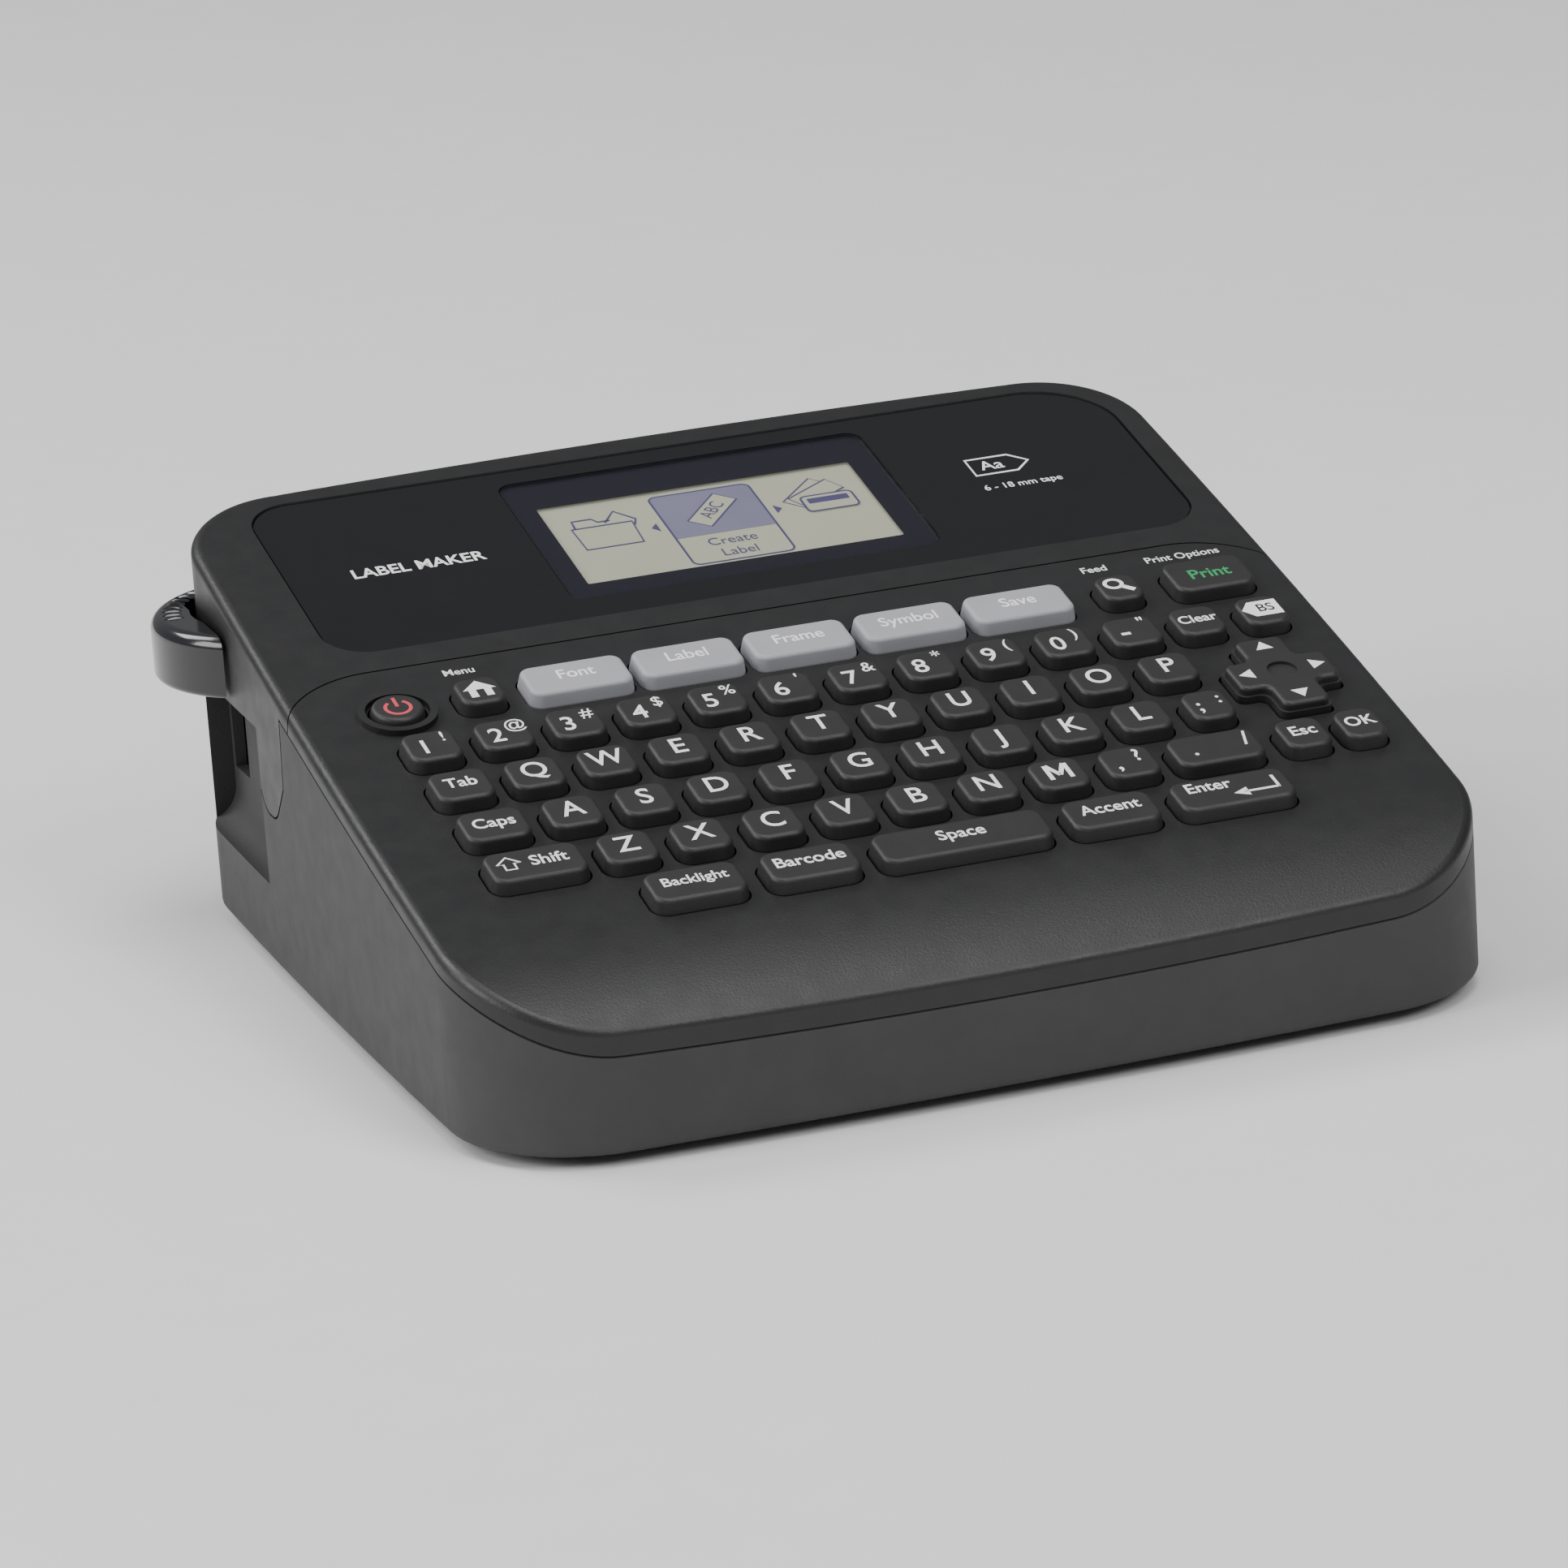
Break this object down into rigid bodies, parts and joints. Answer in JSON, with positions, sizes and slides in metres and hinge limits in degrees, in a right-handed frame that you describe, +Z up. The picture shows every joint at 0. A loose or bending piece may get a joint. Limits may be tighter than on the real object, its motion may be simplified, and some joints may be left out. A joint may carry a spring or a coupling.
{
  "type": "label maker",
  "caption": "Desktop electronic label maker with a sloped keyboard, a display, a press-down tape cutter at the rear corner, and a tape cassette and print unit inside.",
  "frame": {"origin": "on the table, under the middle of the whole machine, cutter lever included", "axes": "+Z up, +Y from the palm rest towards the display, +X to the right of a person typing"},
  "size_m": [0.188, 0.177, 0.0715],
  "materials": {
    "housing": "fine matte texture",
    "deck": "satin",
    "fascia": "gloss",
    "window": "clear",
    "lcd": "liquid crystal, pale green",
    "key_rubber": "soft matte",
    "grey_key": "soft matte",
    "board": "solder mask",
    "frame_plastic": "moulded",
    "ceramic": "ceramic",
    "heat_sink": "plain",
    "steel": "plain",
    "gear_plastic": "moulded acetal",
    "roller_rubber": "ground",
    "cassette": "moulded",
    "tape": "laminated film",
    "ribbon": "film",
    "lever": "gloss",
    "battery": "wrapped",
    "socket": "moulded",
    "foot_rubber": "matte",
    "screw": "black zinc"
  },
  "bodies": {
    "housing": {"base_shell": "housing", "batteries": "battery", "battery_box": "housing", "battery_contacts": "steel", "case_screws": "screw", "cassette_case": "cassette", "cassette_lid": "cassette", "chassis": "frame_plastic", "cutter_anvil": "steel", "dc_jack": "socket", "display_cover": "deck", "display_fascia": "fascia", "display_window": "window", "drive_motor": "steel", "feet": "foot_rubber", "heat_sink": "heat_sink", "key_mat": "key_rubber", "keyboard_board": "board", "keyboard_cover": "deck", "label_tape": "tape", "lcd_panel": "lcd", "lever_pin": "steel", "main_board": "board", "print_head": "ceramic", "usb_socket": "socket"},
    "back_cover": {"back_cover": "housing"},
    "cover_latch": {"cover_latch": "housing"},
    "cutter_lever": {"cutter_lever": "lever"},
    "cutter_slide": {"cutter_blade": "steel", "blade_carrier": "frame_plastic"},
    "motor_pinion": {"motor_pinion": "gear_plastic"},
    "drive_gear": {"drive_gear": "gear_plastic"},
    "idler_gear": {"idler_gear": "gear_plastic"},
    "platen": {"platen_gear": "gear_plastic", "platen_roller": "roller_rubber"},
    "take_up": {"take_up_gear": "gear_plastic", "take_up_core": "cassette"},
    "tape_roll": {"tape_roll": "tape"},
    "ribbon_roll": {"ribbon_roll": "ribbon"},
    "release_lever": {"release_lever": "frame_plastic"},
    "power_key": {"power_key": "key_rubber"},
    "home_key": {"home_key": "key_rubber"},
    "function_key_1": {"function_key_1": "grey_key"},
    "function_key_2": {"function_key_2": "grey_key"},
    "function_key_3": {"function_key_3": "grey_key"},
    "function_key_4": {"function_key_4": "grey_key"},
    "function_key_5": {"function_key_5": "grey_key"},
    "preview_key": {"preview_key": "key_rubber"},
    "print_key": {"print_key": "key_rubber"},
    "number_keys": {"number_keys": "key_rubber"},
    "clear_and_backspace_keys": {"clear_and_backspace_keys": "key_rubber"},
    "top_letter_keys": {"top_letter_keys": "key_rubber"},
    "middle_letter_keys": {"middle_letter_keys": "key_rubber"},
    "bottom_letter_keys": {"bottom_letter_keys": "key_rubber"},
    "shift_keys": {"shift_keys": "key_rubber"},
    "escape_and_ok_keys": {"escape_and_ok_keys": "key_rubber"},
    "mode_keys": {"mode_keys": "key_rubber"},
    "space_key": {"space_key": "key_rubber"},
    "enter_key": {"enter_key": "key_rubber"},
    "cursor_key": {"cursor_key": "key_rubber"}
  },
  "joints": [
    {"name": "power_key_press", "type": "slide", "parent": "housing", "child": "power_key", "axis": [0, 0.2464, -0.9692], "range_m": [0, 0.0013], "stiffness_N_per_m": 300, "springref_m": -0.0006},
    {"name": "home_key_press", "type": "slide", "parent": "housing", "child": "home_key", "axis": [0, 0.2464, -0.9692], "range_m": [0, 0.0013], "stiffness_N_per_m": 300, "springref_m": -0.0006},
    {"name": "function_key_1_press", "type": "slide", "parent": "housing", "child": "function_key_1", "axis": [0, 0.2464, -0.9692], "range_m": [0, 0.0013], "stiffness_N_per_m": 300, "springref_m": -0.0006},
    {"name": "function_key_2_press", "type": "slide", "parent": "housing", "child": "function_key_2", "axis": [0, 0.2464, -0.9692], "range_m": [0, 0.0013], "stiffness_N_per_m": 300, "springref_m": -0.0006},
    {"name": "function_key_3_press", "type": "slide", "parent": "housing", "child": "function_key_3", "axis": [0, 0.2464, -0.9692], "range_m": [0, 0.0013], "stiffness_N_per_m": 300, "springref_m": -0.0006},
    {"name": "function_key_4_press", "type": "slide", "parent": "housing", "child": "function_key_4", "axis": [0, 0.2464, -0.9692], "range_m": [0, 0.0013], "stiffness_N_per_m": 300, "springref_m": -0.0006},
    {"name": "function_key_5_press", "type": "slide", "parent": "housing", "child": "function_key_5", "axis": [0, 0.2464, -0.9692], "range_m": [0, 0.0013], "stiffness_N_per_m": 300, "springref_m": -0.0006},
    {"name": "preview_key_press", "type": "slide", "parent": "housing", "child": "preview_key", "axis": [0, 0.2464, -0.9692], "range_m": [0, 0.0013], "stiffness_N_per_m": 300, "springref_m": -0.0006},
    {"name": "print_key_press", "type": "slide", "parent": "housing", "child": "print_key", "axis": [0, 0.2464, -0.9692], "range_m": [0, 0.0013], "stiffness_N_per_m": 300, "springref_m": -0.0006},
    {"name": "number_keys_press", "type": "slide", "parent": "housing", "child": "number_keys", "axis": [0, 0.2464, -0.9692], "range_m": [0, 0.0013], "stiffness_N_per_m": 300, "springref_m": -0.0006},
    {"name": "clear_and_backspace_keys_press", "type": "slide", "parent": "housing", "child": "clear_and_backspace_keys", "axis": [0, 0.2464, -0.9692], "range_m": [0, 0.0013], "stiffness_N_per_m": 300, "springref_m": -0.0006},
    {"name": "top_letter_keys_press", "type": "slide", "parent": "housing", "child": "top_letter_keys", "axis": [0, 0.2464, -0.9692], "range_m": [0, 0.0013], "stiffness_N_per_m": 300, "springref_m": -0.0006},
    {"name": "middle_letter_keys_press", "type": "slide", "parent": "housing", "child": "middle_letter_keys", "axis": [0, 0.2464, -0.9692], "range_m": [0, 0.0013], "stiffness_N_per_m": 300, "springref_m": -0.0006},
    {"name": "bottom_letter_keys_press", "type": "slide", "parent": "housing", "child": "bottom_letter_keys", "axis": [0, 0.2464, -0.9692], "range_m": [0, 0.0013], "stiffness_N_per_m": 300, "springref_m": -0.0006},
    {"name": "shift_keys_press", "type": "slide", "parent": "housing", "child": "shift_keys", "axis": [0, 0.2464, -0.9692], "range_m": [0, 0.0013], "stiffness_N_per_m": 300, "springref_m": -0.0006},
    {"name": "escape_and_ok_keys_press", "type": "slide", "parent": "housing", "child": "escape_and_ok_keys", "axis": [0, 0.2464, -0.9692], "range_m": [0, 0.0013], "stiffness_N_per_m": 300, "springref_m": -0.0006},
    {"name": "mode_keys_press", "type": "slide", "parent": "housing", "child": "mode_keys", "axis": [0, 0.2464, -0.9692], "range_m": [0, 0.0013], "stiffness_N_per_m": 300, "springref_m": -0.0006},
    {"name": "space_key_press", "type": "slide", "parent": "housing", "child": "space_key", "axis": [0, 0.2464, -0.9692], "range_m": [0, 0.0013], "stiffness_N_per_m": 300, "springref_m": -0.0006},
    {"name": "enter_key_press", "type": "slide", "parent": "housing", "child": "enter_key", "axis": [0, 0.2464, -0.9692], "range_m": [0, 0.0013], "stiffness_N_per_m": 300, "springref_m": -0.0006},
    {"name": "cursor_key_press", "type": "slide", "parent": "housing", "child": "cursor_key", "axis": [0, 0.2464, -0.9692], "range_m": [0, 0.0013], "stiffness_N_per_m": 300, "springref_m": -0.0006},
    {"name": "back_cover_hinge", "type": "hinge", "parent": "housing", "child": "back_cover", "pos_m": [0.004, -0.0007, 0.0032], "axis": [-1, 0, 0], "range_deg": [0, 100]},
    {"name": "cover_latch_slide", "type": "slide", "parent": "back_cover", "child": "cover_latch", "axis": [0, -1, 0], "range_m": [0, 0.0015], "stiffness_N_per_m": 400, "springref_m": -0.0004},
    {"name": "cutter_lever_press", "type": "hinge", "parent": "housing", "child": "cutter_lever", "pos_m": [-0.0774, 0.046, 0.0532], "axis": [-1, 0, 0], "range_deg": [0, 9], "stiffness_Nm_per_rad": 1.2, "springref_deg": -4.58},
    {"name": "cutter_blade_slide", "type": "slide", "parent": "housing", "child": "cutter_slide", "axis": [0, -1, 0], "range_m": [0, 0.003]},
    {"name": "drive_gear_spin", "type": "hinge", "parent": "housing", "child": "drive_gear", "pos_m": [-0.06398, 0.03833, 0.0468], "axis": [0, 0, 1], "continuous": true},
    {"name": "motor_pinion_spin", "type": "hinge", "parent": "housing", "child": "motor_pinion", "pos_m": [-0.0758, 0.0232, 0.0468], "axis": [0, 0, 1], "continuous": true},
    {"name": "idler_gear_spin", "type": "hinge", "parent": "housing", "child": "idler_gear", "pos_m": [-0.05583, 0.05919, 0.0468], "axis": [0, 0, 1], "continuous": true},
    {"name": "platen_spin", "type": "hinge", "parent": "housing", "child": "platen", "pos_m": [-0.057, 0.07515, 0.0468], "axis": [0, 0, 1], "continuous": true},
    {"name": "take_up_spin", "type": "hinge", "parent": "housing", "child": "take_up", "pos_m": [-0.0405, 0.03334, 0.0468], "axis": [0, 0, 1], "continuous": true},
    {"name": "tape_roll_spin", "type": "hinge", "parent": "housing", "child": "tape_roll", "pos_m": [-0.0075, 0.0535, 0.0468], "axis": [0, 0, 1], "continuous": true},
    {"name": "ribbon_roll_spin", "type": "hinge", "parent": "housing", "child": "ribbon_roll", "pos_m": [-0.032, 0.073, 0.0468], "axis": [0, 0, 1], "continuous": true},
    {"name": "release_lever_turn", "type": "hinge", "parent": "housing", "child": "release_lever", "pos_m": [0.0252, 0.074, 0.02], "axis": [0, 0, 1], "range_deg": [0, 14]}
  ],
  "couplings": [
    {"joint": "cutter_blade_slide", "follows": "cutter_lever_press", "m_per_rad": 0.019},
    {"joint": "motor_pinion_spin", "follows": "drive_gear_spin", "ratio": -3},
    {"joint": "idler_gear_spin", "follows": "drive_gear_spin", "ratio": -1.8},
    {"joint": "platen_spin", "follows": "drive_gear_spin", "ratio": 1.8},
    {"joint": "take_up_spin", "follows": "drive_gear_spin", "ratio": -1.5},
    {"joint": "tape_roll_spin", "follows": "drive_gear_spin", "ratio": -0.42857},
    {"joint": "ribbon_roll_spin", "follows": "drive_gear_spin", "ratio": 1.0588}
  ]
}
